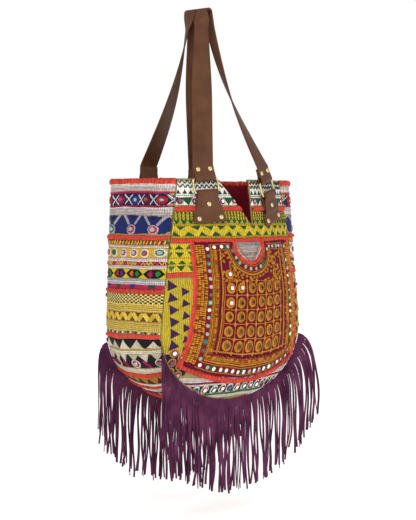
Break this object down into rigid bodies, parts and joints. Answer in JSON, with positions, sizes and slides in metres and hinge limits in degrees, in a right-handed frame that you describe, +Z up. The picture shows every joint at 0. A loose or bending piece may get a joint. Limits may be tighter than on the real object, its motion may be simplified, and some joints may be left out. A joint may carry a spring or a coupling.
{
  "type": "fringe tote bag",
  "caption": "Soft tote bag of embroidered patchwork cloth with a mirror-work patch, two leather strap handles on rings and tabs, and suede fringes hanging from its rounded bottom seams.",
  "frame": {"origin": "the hanging point: the underside of the two straps at their highest point, midway between them", "axes": "+Z up, front panel facing -Y, the wearer's view of the front has +X to the right"},
  "size_m": [0.377, 0.2126, 0.7644],
  "materials": {
    "embroidered_cloth": "embroidered patchwork cotton",
    "mirror_cloth": "satin-stitched cloth with small mirrors",
    "lining": "plain woven lining",
    "coral_binding": "rolled, stitched cloth binding",
    "strap_leather": "smooth matt leather",
    "fringe_suede": "suede",
    "gilt_metal": "pale gold plate"
  },
  "bodies": {
    "root": {"back_panel": "embroidered_cloth", "fringe_back": "fringe_suede", "fringe_front": "fringe_suede", "front_panel": "embroidered_cloth", "gusset": "embroidered_cloth", "handle_back": "strap_leather", "handle_front": "strap_leather", "lining_back": "lining", "lining_front": "lining", "lining_sides": "lining", "mirror_patch": "mirror_cloth", "patch_binding": "coral_binding", "rim_binding_left": "coral_binding", "rim_binding_right": "coral_binding", "ring_back_left": "gilt_metal", "ring_back_right": "gilt_metal", "ring_front_left": "gilt_metal", "ring_front_right": "gilt_metal", "rivet_back_left_1": "gilt_metal", "rivet_back_left_2": "gilt_metal", "rivet_back_left_3": "gilt_metal", "rivet_back_left_4": "gilt_metal", "rivet_back_left_5": "gilt_metal", "rivet_back_right_1": "gilt_metal", "rivet_back_right_2": "gilt_metal", "rivet_back_right_3": "gilt_metal", "rivet_back_right_4": "gilt_metal", "rivet_back_right_5": "gilt_metal", "rivet_front_left_1": "gilt_metal", "rivet_front_left_2": "gilt_metal", "rivet_front_left_3": "gilt_metal", "rivet_front_left_4": "gilt_metal", "rivet_front_left_5": "gilt_metal", "rivet_front_right_1": "gilt_metal", "rivet_front_right_2": "gilt_metal", "rivet_front_right_3": "gilt_metal", "rivet_front_right_4": "gilt_metal", "rivet_front_right_5": "gilt_metal", "tab_back_left": "strap_leather", "tab_back_right": "strap_leather", "tab_front_left": "strap_leather", "tab_front_right": "strap_leather"}
  },
  "joints": []
}
